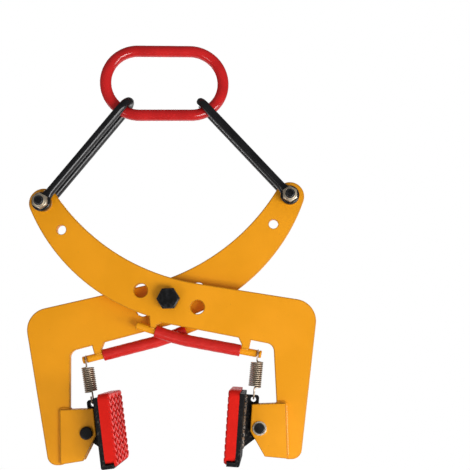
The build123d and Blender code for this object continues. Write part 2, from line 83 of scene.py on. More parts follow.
bl_info = {
    "name": "Stone Lifting Clamp",
    "version": (1, 0, 0),
    "blender": (4, 5, 0),
    "location": "View3D > Sidebar > Clamp",
    "description": "Builds the pieces, finishes and stage of a scissor clamp for stone",
    "category": "Add Mesh",
}

MM = 0.001
HALF_TURN = np.array([-1.0, -1.0, 1.0])
UP = np.array([0.0, 0.0, 1.0])
ACROSS = np.array([0.0, 1.0, 0.0])
FRONT = -ACROSS

places = {joint["name"]: np.array(joint["pos_m"]) for joint in frame["joints"]}
pivot = places["arm_pivot"]
pad_pin = places["right_pad_swing"]
eyes = {"left": places["front_arm_swing"], "right": places["right_link_swing"]}
plate_y = eyes["left"][1]
jaws = {"right": "front_arm", "left": "rear_arm"}
turns = {"right": 1.0, "left": HALF_TURN}

SIDES = 96  # of a turned ring
PLATE_HALF = 5 * MM
PLAY = 0.05 * MM  # between a bolt and its hole, all round
# The pad from its pin: face along its thickness, top, lip and foot up it, half across it.
PAD_TILT = np.radians(5.8)
PAD_FACE = -43 * MM
PAD_TOP = 50 * MM
PAD_LIP = -41.5 * MM
PAD_FOOT = -45.5 * MM
PAD_HALF = 54 * MM


def length(name, description, default):
    """A length in metres that a user may change, given in millimetres."""
    return FloatProperty(
        name=name, description=description, default=default * MM, unit="LENGTH", precision=5
    )


def colour(name, description, default):
    """A paint or metal colour that a user may change."""
    return FloatVectorProperty(
        name=name, description=description, default=default, subtype="COLOR", size=3,
        min=0.0, max=1.0,
    )


def angle_of(name, description, degrees):
    """An angle that a user may change, given in degrees."""
    return FloatProperty(
        name=name, description=description, default=np.radians(degrees), subtype="ANGLE"
    )


def power(name, description, default):
    """A lamp's power in watts that a user may change."""
    return FloatProperty(name=name, description=description, default=default, unit="POWER")


class ClampSizes(PropertyGroup):
    """Sizes of the pieces that are drawn finer than their solids."""

    ring_bar: length("Master link bar", "Diameter of the master link's bar", 16.0)
    ring_inner_length: length("Master link length", "Inside length of the master link", 146.3)
    ring_inner_height: length("Master link height", "Inside height of the master link", 74.5)
    link_bar: length("Link bar", "Diameter of a link's bar", 12.0)
    link_spread: length("Link spread", "Distance between the middles of a link's legs", 30.0)
    link_apex: length("Link height", "From an arm's eye to the middle of the link's bend", 182.15)
    link_eye: length("Link eye", "Outside diameter of a link's eye", 26.0)
    link_eye_thickness: length("Link eye thickness", "Thickness of a link's flattened eye", 10.5)
    link_hex: length("Link nut", "Width across the flats of the link nuts", 19.0)
    link_bolt: length("Link bolt", "Diameter of the link bolts", 12.0)
    link_thread: length("Link thread", "Pitch of the link bolts' thread", 1.75)
    pivot_hex: length("Pivot head", "Width across the flats of the pivot bolt's head", 27.0)
    pivot_bolt: length("Pivot bolt", "Diameter of the pivot bolt", 18.0)
    pivot_thread: length("Pivot thread", "Pitch of the pivot bolt's thread", 2.5)
    bar: length("Handle bar", "Diameter of a handle bar", 10.0)
    sleeve: length("Handle sleeve", "Diameter of a handle's rubber sleeve", 16.4)
    spring_wire: length("Spring wire", "Diameter of a spring's wire", 2.2)
    spring_coil: length("Spring coil", "Outside diameter of a spring", 17.4)
    spring_pitch: length("Spring pitch", "Rise of one turn of a spring", 2.68)
    spring_turns: IntProperty(
        name="Spring turns", description="Full turns of a spring", default=12, min=3
    )
    tread_depth: length("Tread depth", "Depth of the grooves in a pad's face", 2.2)
    tread_pitch: length("Tread pitch", "Distance between the rows of a pad's tread", 8.6)
    tread_groove: length("Tread groove", "Width of a groove in a pad's face", 4.7)
    tread_wave: length("Tread wave", "Half the length of one zigzag of the tread", 14.0)
    tread_swing: length("Tread swing", "Height of one zigzag of the tread", 7.4)
    weld: length("Weld", "Radius of the weld beads on the cheeks", 2.6)


class ClampColours(PropertyGroup):
    """Colours of the finishes."""

    orange: colour("Powder coat", "Powder coat of the arms and cheeks", (0.91, 0.355, 0.003))
    ring_red: colour("Master link", "Gloss paint of the master link", (0.60, 0.014, 0.014))
    black: colour("Black paint", "Paint of the links, lugs and pad plates", (0.009, 0.009, 0.010))
    oxide: colour("Black oxide", "Finish of the pivot bolt and pins", (0.010, 0.010, 0.011))
    rubber: colour("Red rubber", "Rubber of the pads and sleeves", (0.74, 0.018, 0.012))
    zinc: colour("Zinc", "Plating of the nuts and rings", (0.70, 0.61, 0.47))
    spring: colour("Spring wire", "Oiled wire of the springs", (0.60, 0.48, 0.35))
    insert: colour("Nut insert", "Plastic insert of the lock nuts", (0.02, 0.022, 0.03))


class ClampView(PropertyGroup):
    """Camera and light of the stage."""

    place: FloatVectorProperty(
        name="Camera place", description="Where the camera stands",
        default=(0.140, -1.280, -0.4005), subtype="TRANSLATION", unit="LENGTH", size=3,
    )
    pitch: angle_of("Pitch", "Camera's rise above level", 5.12)
    yaw: angle_of("Yaw", "Camera's turn to the right", -0.40)
    roll: angle_of("Roll", "Camera's tilt about its view", -1.94)
    lens: FloatProperty(
        name="Lens", description="Focal length in millimetres", default=72.05, unit="CAMERA"
    )
    shift: FloatVectorProperty(
        name="Shift", description="Shift of the frame", default=(-0.0638, 0.0489), size=2
    )
    key: power("Key light", "Power of the large lamp", 20.5)
    fill: power("Fill light", "Power of the lamp on the left", 4.0)
    side: power("Side light", "Power of the lamp on the right", 9.0)
    back: power("Back light", "Power of the lamp behind", 9.0)
    sky: FloatProperty(name="Sky", description="Strength of the light from all round", default=0.38)
    front: FloatProperty(
        name="Front", description="Strength of the room in front, as mirrored", default=0.12
    )


def unit(vectors):
    """Vectors scaled to length one."""
    return vectors / np.linalg.norm(vectors, axis=-1, keepdims=True)


def ease(values, low, high):
    """A smooth step from 0 at low to 1 at high."""
    t = np.clip((values - low) / (high - low), 0.0, 1.0)
    return t * t * (3 - 2 * t)


def circle(count):
    """Angles evenly round a full turn."""
    return np.linspace(0, 2 * np.pi, count, endpoint=False)


def arm_space(along, height, out=0.0):
    """Points of the front arm: along and height from the pivot, out from the plate's middle."""
    along, height, out = np.broadcast_arrays(along, height, out)
    return np.stack([along + pivot[0], plate_y - out, height + pivot[2]], -1)


def pad_space(back, height, out=0.0):
    """Points of the right pad from its pin: back from the stone and height up the leaning pad."""
    along = back * np.cos(PAD_TILT) + height * np.sin(PAD_TILT)
    rise = height * np.cos(PAD_TILT) - back * np.sin(PAD_TILT)
    pin = pad_pin - pivot
    return arm_space(pin[0] + along, pin[2] + rise, out)


def grid_quads(index):
    """The four-sided faces between the points of a grid, by their numbers."""
    corners = [index[:-1, :-1], index[:-1, 1:], index[1:, 1:], index[1:, :-1]]
    return np.stack(corners, -1).reshape(-1, 4).tolist()


class Shape:
    """Grids of points, joined into one mesh. Each grid is a surface sampled on two parameters."""

    def __init__(self):
        self.grids = []
        self.faces = []
        self.count = 0

    def add(self, grid, loop=False):
        """Take a grid whose columns close into rings; its rows close too if loop, or get caps."""
        rows, columns = grid.shape[:2]
        index = np.arange(rows * columns).reshape(rows, columns) + self.count
        if loop:
            index = np.vstack([index, index[:1]])
        else:
            self.faces += [index[0, ::-1].tolist(), index[-1].tolist()]
        self.faces += grid_quads(np.hstack([index, index[:, :1]]))
        self.grids.append(grid.reshape(-1, 3))
        self.count += rows * columns
        return self

    def mesh(self, name, turn=1.0, crease=35.0):
        """The joined mesh, turned, and smooth apart from edges sharper than a crease, if any."""
        mesh = bpy.data.meshes.new(name)
        mesh.from_pydata(np.concatenate(self.grids) * turn, [], self.faces)
        return mesh if crease is None else soften(mesh, crease)


def soften(mesh, crease):
    """Smooth shading that keeps edges sharper than an angle."""
    mesh.validate()
    mesh.shade_smooth()
    mesh.set_sharp_from_angle(angle=np.radians(crease))
    return mesh


def tube(path, radius, across, sides=32, heading=None, flat=1.0):
    """A round bar carried along a path: at each point a circle of a radius, square to the heading.

    The circle's first axis is square to the across vector and the heading, and flat scales its
    second axis. The heading is the path's own, unless one is given.
    """
    heading = unit(np.gradient(path, axis=0) if heading is None else heading)
    first = unit(np.cross(across, heading))
    second = np.cross(heading, first)
    angle = circle(sides)[None, :, None]
    radius = np.broadcast_to(radius, len(path))[:, None, None]
    wide = radius * np.broadcast_to(flat, len(path))[:, None, None]
    spoke = radius * np.cos(angle) * first[:, None] + wide * np.sin(angle) * second[:, None]
    return path[:, None] + spoke


def turned(base, axis, rings, sides=SIDES):
    """A turned surface: rings about an axis through a base point, each a radius and a height.

    Either is one number, or one for each angle in a ring that isn't round.
    """
    radii, heights = [
        np.stack([np.broadcast_to(value, sides) for value in column]) for column in zip(*rings)
    ]
    first = np.array([1.0, 0.0, 0.0])
    angle = circle(sides)[:, None]
    spoke = np.cos(angle) * first + np.sin(angle) * np.cross(axis, first)
    return base + radii[..., None] * spoke + heights[..., None] * axis


def mirrored(rings, height):
    """The rings of one end, as those of the other end at a height."""
    return [(radius, height - rise) for radius, rise in rings[::-1]]


def corner_round(radius, edge, steps=5):
    """Rings of a rounded rim, a quarter circle from the flat end at height 0 to the full radius."""
    angle = np.linspace(0, np.pi / 2, steps)
    return list(zip(radius - edge * (1 - np.sin(angle)), edge * (1 - np.cos(angle))))


def hexagon(flats, corner):
    """Distance from the axis to a hexagon's sides at each angle, with a corner at the given one."""
    turn = np.mod(circle(SIDES) - np.radians(corner), np.pi / 3)
    return flats / 2 / np.cos(turn - np.pi / 6)


def hex_end(flats, corner, cut=0.96, slope=30.0, steps=5):
    """Rings of a hexagon's end at height 0, cut by a cone, which leaves arcs on the flats.

    The cone starts at a share of the flats' half width and goes by its slope out to the hexagon.
    """
    start = flats / 2 * cut
    radii = start + (hexagon(flats, corner) - start) * np.linspace(0, 1, steps)[:, None]
    return list(zip(radii, (radii - start) * np.tan(np.radians(slope))))


def thread(radius, pitch, low, high, steps=10):
    """Rings of a screw thread: the radius follows a triangle wave of height less the angle's share.

    A full turn is one pitch. The wave is clipped at crest and root, and sinks at the high end.
    """
    heights = np.linspace(low, high, max(3, int((high - low) / pitch * steps)))
    phase = np.mod(heights[:, None] / pitch - circle(SIDES)[None] / (2 * np.pi), 1.0)
    ridge = np.clip(1.35 - 2.9 * np.abs(phase - 0.5), 0.0, 1.0)
    depth = 0.54 * pitch
    end = np.minimum(1.0, (high - heights) / (0.7 * pitch))[:, None]
    return list(zip(radius - depth * (1 - ridge * end), heights))


class Shade:
    """A node's output in an expression. Each operator adds a Math node and gives its output."""

    def __init__(self, finish, output):
        self.finish = finish
        self.output = output

    def math(self, operation, first, second):
        return self.finish.node("ShaderNodeMath", {"operation": operation}, {0: first, 1: second})

    def __add__(self, other):
        return self.math("ADD", self, other)

    def __sub__(self, other):
        return self.math("SUBTRACT", self, other)

    def __rsub__(self, other):
        return self.math("SUBTRACT", other, self)

    def __mul__(self, other):
        return self.math("MULTIPLY", self, other)

    __radd__ = __add__
    __rmul__ = __mul__


class Nodes:
    """A node tree that is written as expressions."""

    def __init__(self, tree):
        self.tree = tree

    def node(self, kind, settings=None, inputs=None, output=0):
        """Add a node, set its settings and then its sockets, each with a value or a link."""
        node = self.tree.nodes.new(kind)
        for key, value in (settings or {}).items():
            setattr(node, key, value)
        for key, value in (inputs or {}).items():
            self.plug(node.inputs[key], value)
        return Shade(self, node.outputs[output])

    def plug(self, socket, value):
        """Set or link one socket."""
        if isinstance(value, Shade):
            self.tree.links.new(value.output, socket)
        elif socket.type == "RGBA" and len(value) == 3:
            socket.default_value = (*value, 1.0)
        else:
            socket.default_value = value

    def span(self, value, low, high, to_low=0.0, to_high=1.0):
        """Map a value smoothly from one range to another and hold it there."""
        settings = {"interpolation_type": "SMOOTHSTEP"}
        inputs = {0: value, 1: low, 2: high, 3: to_low, 4: to_high}
        return self.node("ShaderNodeMapRange", settings, inputs)

    def rays(self):
        """Whether a ray comes from the camera, from a mirroring surface or through a clear one."""
        return [self.node("ShaderNodeLightPath", output=f"Is {kind} Ray")
                for kind in ("Camera", "Glossy", "Transmission")]


class Finish(Nodes):
    """A procedural material: one shader with a tint and a shine, and the nodes that vary it."""

    def __init__(self, name, shine, tint=None):
        self.material = bpy.data.materials.new(name)
        self.material.use_nodes = True
        super().__init__(self.material.node_tree)
        self.shader = self.tree.nodes["Principled BSDF"]
        self.feed({"Specular IOR Level": shine})
        self.tint = tint
        self.place = self.node("ShaderNodeTexCoord", output="Object")

    def feed(self, inputs):
        """Set or link the shader's own sockets."""
        for key, value in inputs.items():
            self.plug(self.shader.inputs[key], value)

    def shade(self, share, lift=0.0):
        """The tint made darker or lighter by a share, and paler by a lift."""
        return tuple(min(1.0, value * share + lift) for value in self.tint)

    def noise(self, scale, detail=2.0, rough=0.5):
        """Cloudy noise from 0 to 1, with features of about 1 / scale metres."""
        inputs = {"Vector": self.place, "Scale": scale, "Detail": detail, "Roughness": rough}
        return self.node("ShaderNodeTexNoise", {}, inputs)

    def patches(self, low, high, *noise):
        """Patches where a noise is high, with a soft edge from one level to another."""
        return self.span(self.noise(*noise), low, high)

    def cells(self, scale):
        """Distance to the nearest of scattered points, 1 / scale metres apart."""
        return self.node("ShaderNodeTexVoronoi", {}, {"Vector": self.place, "Scale": scale})

    def attribute(self, name):
        """A value that is kept on the mesh."""
        return self.node("ShaderNodeAttribute", {"attribute_name": name}, output="Fac")

    def mix(self, factor, *colours):
        """Mix two colours. A number stands for that share of the tint."""
        first, second = [self.shade(c) if isinstance(c, float) else c for c in colours]
        inputs = {0: factor, 6: first, 7: second}
        return self.node("ShaderNodeMix", {"data_type": "RGBA"}, inputs, output=2)

    def soft_normal(self, radius):
        """The surface's direction with its edges rounded by a radius."""
        return self.node("ShaderNodeBevel", {"samples": 6}, {"Radius": radius})

    def rim(self, soft):
        """How near an edge is: the difference between the softened direction and the true one."""
        flat = self.node("ShaderNodeNewGeometry", output="Normal")
        settings = {"operation": "DOT_PRODUCT"}
        return 1.0 - self.node("ShaderNodeVectorMath", settings, {0: soft, 1: flat}, "Value")

    def relief(self, height, distance, soft=None):
        """Bump the surface by a height, over edges that may be softened."""
        inputs = {"Height": height, "Distance": distance, "Strength": 1.0}
        if soft:
            inputs["Normal"] = soft
        self.feed({"Normal": self.node("ShaderNodeBump", {}, inputs)})


def powder_coat(coat):
    """Satin orange powder coat: orange-peel relief, tone clouds, specks, painted edge shade."""
    soft = coat.soft_normal(0.0022)
    clouds = coat.patches(0.3, 0.7, 14.0, 3.0)
    specks = coat.span(coat.cells(190.0), 0.10, 0.05) * coat.patches(0.60, 0.66, 38.0)
    # Painted shade: the coat darkens along every edge, where the softened direction leaves the true one.
    edge_shade = coat.span(coat.rim(soft), 0.004, 0.06, 0.0, 0.85)
    edge_wear_and_light = coat.mix(edge_shade, coat.mix(clouds, 0.95, 1.02), 0.42)
    coat.feed({"Base Color": coat.mix(specks * 0.55, edge_wear_and_light, 0.3), "Roughness": 0.36 + 0.12 * clouds})
    coat.relief(coat.noise(520.0) + 0.35 * coat.noise(1500.0), 0.00009, soft)


def weld_coat(coat):
    """The same powder coat over a weld: ripples catch small glints."""
    clouds = coat.patches(0.3, 0.7, 160.0, 3.0)
    coat.feed({"Base Color": coat.mix(clouds, 0.88, 1.0), "Roughness": 0.28 + 0.14 * clouds,
               "Coat Weight": 0.2, "Coat Roughness": 0.2})
    coat.relief(coat.noise(700.0, 3.0), 0.0002)


def gloss_red(paint):
    """Gloss red paint on a forged bar: slow waves under the paint, and a little wear."""
    clouds = paint.patches(0.32, 0.68, 26.0, 3.0)
    wear = paint.patches(0.66, 0.74, 120.0, 5.0, 0.65)
    paint.feed({"Base Color": paint.mix(wear * 0.3, paint.mix(clouds, 0.86, 1.1), 0.5),
                "Roughness": 0.13 + 0.04 * clouds + 0.15 * wear})
    paint.relief(paint.noise(30.0, 1.0), 0.00002)


def gloss_black(paint):
    """Gloss black paint on bent bar: drawn marks and smudges in the shine."""
    smudge = paint.patches(0.35, 0.7, 42.0, 4.0, 0.6)
    dust = paint.span(paint.cells(420.0), 0.16, 0.08) * paint.patches(0.54, 0.62, 60.0)
    tone = paint.mix(smudge, 0.8, 1.4)
    paint.feed({"Base Color": paint.mix(dust * 0.35, tone, (0.12, 0.115, 0.105)),
                "Roughness": 0.17 + 0.12 * smudge + 0.2 * dust})
    paint.relief(paint.noise(90.0) + 0.06 * paint.noise(900.0), 0.00007)


def grainy_black(paint):
    """Thin black paint on plate: a coarse grain, softened edges and stone dust."""
    grain = paint.noise(620.0, 3.0, 0.6)
    dust = paint.patches(0.53, 0.66, 300.0, 4.0, 0.75) * paint.patches(0.40, 0.58, 30.0)
    tone = paint.mix(paint.span(grain, 0.35, 0.65), 0.7, 1.4)
    paint.feed({"Base Color": paint.mix(dust * 0.45, tone, (0.17, 0.145, 0.12)),
                "Roughness": 0.50 + 0.14 * grain + 0.3 * dust})
    paint.relief(grain, 0.00015, paint.soft_normal(0.0008))


def black_oxide(steel):
    """Black oxide on bolts and pins: satin steel with paler scuffed patches and paler edges."""
    soft = steel.soft_normal(0.0011)
    rubbed_and_highlit = steel.patches(0.44, 0.70, 230.0, 4.0, 0.6)
    # Paler edges: partly scuffed metal, partly a painted highlight on the chamfers.
    edge_wear_and_light = steel.span(steel.rim(soft), 0.006, 0.07)
    skin = steel.mix(rubbed_and_highlit, 0.5, 4.0)
    steel.feed({"Base Color": steel.mix(edge_wear_and_light * 0.8, skin, (0.10, 0.105, 0.115)),
                "Roughness": 0.30 - 0.08 * rubbed_and_highlit, "Metallic": 0.1 + 0.3 * rubbed_and_highlit})
    steel.relief(steel.noise(700.0, 3.0), 0.00006, soft)


def zinc_plate(zinc):
    """Yellowed zinc plating: blotched passivation over a fine machined grain."""
    blotch = zinc.patches(0.3, 0.7, 160.0, 3.0, 0.6)
    dull = zinc.patches(0.52, 0.7, 420.0, 4.0)
    zinc.feed({"Base Color": zinc.mix(dull * 0.5, zinc.mix(blotch, 0.74, 1.1), 0.4),
               "Roughness": 0.36 + 0.16 * dull, "Metallic": 0.75 - 0.25 * dull})
    zinc.relief(zinc.noise(1600.0), 0.00005, zinc.soft_normal(0.0004))


def bright_zinc(zinc):
    """Bright zinc on the pins' rings: turned marks in a paler, shinier skin."""
    blotch = zinc.patches(0.3, 0.7, 240.0, 3.0, 0.6)
    zinc.feed({"Base Color": zinc.mix(blotch, zinc.shade(1.0, 0.1), zinc.shade(1.1, 0.2)),
               "Roughness": 0.24 + 0.12 * blotch, "Metallic": 0.7 - 0.2 * blotch})
    zinc.relief(zinc.noise(1600.0), 0.00004, zinc.soft_normal(0.0006))


def dusty_weld(paint):
    """Black paint over a weld under stone dust: grey and brown specks on dark ripples."""
    specks = paint.patches(0.46, 0.56, 420.0, 4.0, 0.7)
    brown = paint.patches(0.4, 0.6, 210.0)
    dust = paint.mix(brown, (0.42, 0.38, 0.34), (0.33, 0.21, 0.13))
    paint.feed({"Base Color": paint.mix(specks * 0.85, 1.2, dust),
                "Roughness": 0.34 + 0.3 * specks})
    paint.relief(paint.noise(700.0, 3.0), 0.0002)


def moulded_rubber(rubber):
    """Red moulded rubber: a fine pebbled skin, painted highlight on ribs, painted shade in grooves."""
    clouds = rubber.patches(0.42, 0.72, 48.0, 4.0, 0.6)
    # Painted shade: the tint darkened in the tread's grooves.
    sunk = rubber.mix(rubber.attribute("groove"), rubber.mix(clouds, 0.94, 1.05), 0.84)
    # Painted highlight: the rib tops paler and pinker.
    rubbed_and_highlit = rubber.mix(rubber.attribute("rib"), sunk, rubber.shade(1.35, 0.12))
    pores = rubber.span(rubber.cells(900.0), 0.25, 0.1)
    rubber.feed({"Base Color": rubber.mix(pores * 0.25, rubbed_and_highlit, 0.6),
                 "Roughness": 0.42 + 0.14 * clouds})
    rubber.relief(rubber.noise(1100.0) - 0.5 * pores, 0.00008)


def sleeve_rubber(rubber):
    """Red rubber tubing: a smooth skin with faint drag marks along it."""
    stretch = {"Vector": rubber.place, "Scale": (0.15, 1.0, 1.0)}
    rubber.place = rubber.node("ShaderNodeMapping", {}, stretch)
    drag = rubber.patches(0.35, 0.65, 420.0, 3.0)
    rubber.feed({"Base Color": rubber.mix(drag, 0.84, 0.92), "Roughness": 0.3 + 0.14 * drag})
    rubber.relief(drag, 0.00002)


def oiled_wire(wire):
    """Oiled spring wire: bronze-brown steel, oily patches, painted shade between the turns."""
    oil = wire.patches(0.35, 0.68, 240.0, 3.0)
    # Painted shade: the wire darkened where it faces the next turn.
    gap = wire.span(wire.attribute("gap"), 0.4, 0.85)
    wire.feed({"Base Color": wire.mix(gap, wire.mix(oil, 1.15, 0.8), 0.12),
               "Roughness": 0.34 + 0.1 * oil, "Metallic": 0.8 - 0.2 * oil})
    wire.relief(wire.noise(500.0), 0.00002)


def nut_insert(plastic):
    """Dark plastic of a lock nut's insert, cut a little by the thread."""
    scuff = plastic.patches(0.45, 0.7, 800.0, 3.0)
    plastic.feed({"Base Color": plastic.mix(scuff, 1.0, 2.5), "Roughness": 0.42 + 0.2 * scuff})
    plastic.relief(scuff, 0.0001)


FINISHES = {  # what makes it, its shine and its tint
    "orange_coat": (powder_coat, 0.28, "orange"),
    "weld_coat": (weld_coat, 0.5, "orange"),
    "red_coat": (gloss_red, 0.5, "ring_red"),
    "black_gloss": (gloss_black, 0.5, "black"),
    "black_coat": (grainy_black, 0.12, "black"),
    "black_oxide": (black_oxide, 0.45, "oxide"),
    "zinc": (zinc_plate, 0.5, "zinc"),
    "bright_zinc": (bright_zinc, 0.5, "zinc"),
    "dusty_weld": (dusty_weld, 0.15, "black"),
    "red_rubber": (moulded_rubber, 0.03, "rubber"),
    "sleeve_rubber": (sleeve_rubber, 0.4, "rubber"),
    "spring_steel": (oiled_wire, 0.5, "spring"),
    "nut_insert": (nut_insert, 0.4, "insert"),
}
made = {}


def finish(name):
    """The material of that name, made when it is first asked for."""
    if name not in made:
        maker, shine, tint = FINISHES[name]
        look = Finish(maker.__name__, shine, tuple(getattr(bpy.context.scene.clamp_colours, tint)))
        maker(look)
        made[name] = look.material
    return made[name]


def piece(mesh, look, slot, body=None, *stands_for):
    """Put a mesh in the scene, with its look, the body it rides on and what it replaces; slot is not used."""
    thing = bpy.data.objects.new(mesh.name, mesh)
    bpy.context.scene.collection.objects.link(thing)
    mesh.materials.clear()
    mesh.materials.append(finish(look))
    if body:
        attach(thing, body)
    if stands_for:
        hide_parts(*stands_for)
    return thing


def sizes():
    """The sizes in use."""
    return bpy.context.scene.clamp_sizes


def oval(half, radius, bend_points=64, straight_points=40):
    """The master link's middle line: two straights joined by half circles, from lower left."""
    run = np.linspace(-half, half, straight_points, endpoint=False)
    turn = np.linspace(-np.pi / 2, np.pi / 2, bend_points, endpoint=False)
    side = np.concatenate([
        np.stack([run, np.full_like(run, -radius)], -1),
        np.stack([half + radius * np.cos(turn), radius * np.sin(turn)], -1),
    ])
    return np.concatenate([side, -side])


WELD_PLACE = 0.2  # along half the master link's upper straight
WELD_SWELL = 0.01
WELD_REACH = 2.2 * MM


def make_master_link():
    """The oval of round bar: a tube on a closed path, swollen a little at the weld in its top."""
    size = sizes()
    radius = (size.ring_inner_height + size.ring_bar) / 2
    half = (size.ring_inner_length - size.ring_inner_height) / 2
    flat = oval(half, radius)
    seat = -places["left_link_swing"]
    along = unit(np.array([seat[0], seat[1], 0.0]))
    path = flat[:, :1] * along + (flat[:, 1:] - size.ring_inner_height / 2) * UP
    on_top = flat[:, 1] > 0.99 * radius
    from_weld = np.where(on_top, np.abs(flat[:, 0] - WELD_PLACE * half), 1.0)
    swell = 1 - WELD_SWELL + WELD_SWELL * np.exp(-((from_weld / WELD_REACH) ** 2))
    heading = np.roll(path, -1, 0) - np.roll(path, 1, 0)
    bar = tube(path, size.ring_bar / 2 * swell, np.cross(along, UP), 48, heading)
    mesh = Shape().add(bar, loop=True).mesh("master_link_bar")
    piece(mesh, "red_coat", "red_coat", "master_link", "master_link")


LEG_START = 2 * MM  # above the eye's middle
LEG_FLATTENING = (19 * MM, 9 * MM)  # heights over which a leg flattens
LEG_FLAT = 0.29  # half width of a leg's flat end, as a share of the eye
EYE_RIM = 2.2 * MM
EYE_CHAMFER = 0.4 * MM


def make_link(side):
    """A bent-bar link: a tube along a U, flattened near its ends, with a rounded eye on each."""
    size = sizes()
    eye = eyes[side]
    seat = places["left_link_swing"] * (1.0 if side == "left" else HALF_TURN)
    rise = unit(seat - eye)
    half = size.link_spread / 2
    leg = size.link_apex - half
    near = 0.3 * leg  # up to here the points are closer
    station = np.concatenate([np.linspace(LEG_START, near, 40), np.linspace(near, leg, 30)[1:]])
    bend = np.linspace(0, np.pi, 41)[1:-1]
    straight = np.full_like(station, half)
    across = np.concatenate([-straight, -half * np.cos(bend), straight])
    height = np.concatenate([station, leg + half * np.sin(bend), station[::-1]])
    path = eye + across[:, None] * ACROSS + height[:, None] * rise
    bar = size.link_bar / 2
    flattened = ease(height, *LEG_FLATTENING)
    thick = bar + (size.link_eye_thickness / 2 - bar) * flattened
    wide = bar + (size.link_eye * LEG_FLAT - bar) * flattened
    shape = Shape().add(tube(path, thick, np.cross(ACROSS, rise), flat=wide / thick))
    bore = size.link_bolt / 2 + PLAY
    end = [(bore, EYE_CHAMFER), (bore + EYE_CHAMFER, 0.0)]
    end += corner_round(size.link_eye / 2, EYE_RIM)
    rings = end + mirrored(end, size.link_eye_thickness)
    for leg_y in (-half, half):
        base = eye + (leg_y - size.link_eye_thickness / 2) * ACROSS
        shape.add(turned(base, ACROSS, rings, 64), loop=True)
    body = node = f"{side}_link"
    piece(shape.mesh(f"{side}_link_bar"), "black_gloss", "black_coat", body, node)


FASTENER_CREASE = 28.0
LINK_HEX_TURN = 30.0
LINK_NUT = 12 * MM  # heights of the nut, its hexagon and its collar's foot
LINK_NUT_HEX = 8.8 * MM
LINK_NUT_COLLAR = 8.85 * MM
LINK_HEAD = 7.5 * MM
LINK_STUB = 2 * MM  # bolt standing out of the nut


def make_nut(name, base, axis, rings, body, node):
    """A turned nut whose rings close on its bore."""
    shape = Shape().add(turned(base, axis, rings), loop=True)
    piece(shape.mesh(name, crease=FASTENER_CREASE), "zinc", "zinc", body, node)


def make_bolt(name, base, axis, rings, body, node):
    """A turned bolt, from end to end."""
    shape = Shape().add(turned(base, axis, rings))
    piece(shape.mesh(name, crease=FASTENER_CREASE), "black_oxide", "black_coat", body, node)


def make_link_fasteners(side):
    """A link's lock nut with a rounded collar, its plastic insert, and the bolt with its thread."""
    size = sizes()
    face = size.link_spread / 2 + size.link_eye_thickness / 2
    bolt = size.link_bolt / 2
    bore = bolt + PLAY
    base = eyes[side] + face * FRONT
    body = f"{side}_link"

    end = hex_end(size.link_hex, LINK_HEX_TURN)
    collar = size.link_hex / 2 - 1.7 * MM
    mouth = collar - 1.2 * MM
    ledge = LINK_NUT - 1.2 * MM
    rings = [
        (bore, 0.0), *end, *mirrored(end, LINK_NUT_HEX),
        (collar, LINK_NUT_COLLAR), *mirrored(corner_round(collar, 1.1 * MM, 7), LINK_NUT),
        (mouth, LINK_NUT), (mouth, ledge), (bore, ledge),
    ]
    make_nut(f"{side}_lock_nut", base, FRONT, rings, body, f"{side}_link_nut")

    rim = LINK_NUT - 0.7 * MM
    top = LINK_NUT - 0.35 * MM
    rings = [
        (bore, ledge), (mouth, ledge), (mouth, rim),
        (mouth - 0.4 * MM, top), (bore + 0.5 * MM, top), (bore, rim),
    ]
    insert = Shape().add(turned(base, FRONT, rings, 64), loop=True)
    piece(insert.mesh(f"{side}_nut_insert"), "nut_insert", "black_coat", body)

    end = hex_end(size.link_hex, LINK_HEX_TURN, cut=0.93)
    shank = 2 * face + 3 * MM
    tip = 2 * face + LINK_NUT + LINK_STUB
    rings = [
        (0.5 * MM, -LINK_HEAD), *[(radius, rise - LINK_HEAD) for radius, rise in end],
        (end[-1][0], 0.0), (bolt, 0.0), (bolt, shank),
        *thread(bolt, size.link_thread, shank + 0.2 * MM, tip),
    ]
    head = eyes[side] - face * FRONT
    make_bolt(f"{side}_hex_bolt", head, FRONT, rings, body, f"{side}_link_bolt")


PIVOT_HEX_TURN = 0.0
PIVOT_WASHER = 3 * MM
PIVOT_HEAD = 11.5 * MM
PIVOT_THREADED = 22 * MM


def make_pivot_fasteners():
    """The pivot bolt with its hexagon head and threaded end, and the nut behind."""
    size = sizes()
    seat = np.array([pivot[0], plate_y, pivot[2]]) + (PLATE_HALF + PIVOT_WASHER) * FRONT
    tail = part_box("pivot_bolt")[1][1] - seat[1]
    bolt = size.pivot_bolt / 2
    screw = thread(bolt, size.pivot_thread, 0.0, PIVOT_THREADED)
    end = hex_end(size.pivot_hex, PIVOT_HEX_TURN, cut=0.92, slope=28.0, steps=7)
    rings = [
        *mirrored(screw, PIVOT_THREADED - tail), (bolt, PIVOT_THREADED + 1 * MM - tail),
        (bolt, 0.0), (hexagon(size.pivot_hex, PIVOT_HEX_TURN), 0.0),
        *mirrored(end, PIVOT_HEAD),
        *[(share * size.pivot_hex / 2, PIVOT_HEAD) for share in (0.86, 0.75, 0.55, 0.3, 0.05)],
    ]
    make_bolt("pivot_hex_bolt", seat, FRONT, rings, "front_arm", "pivot_bolt")

    low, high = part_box("pivot_nut")
    thick = high[1] - low[1]
    end = hex_end(size.pivot_hex, PIVOT_HEX_TURN)
    rings = [(bolt + PLAY, 0.0), *end, *mirrored(end, thick), (bolt + PLAY, thick)]
    base = np.array([pivot[0], low[1], pivot[2]])
    make_nut("pivot_hex_nut", base, ACROSS, rings, "front_arm", "pivot_nut")


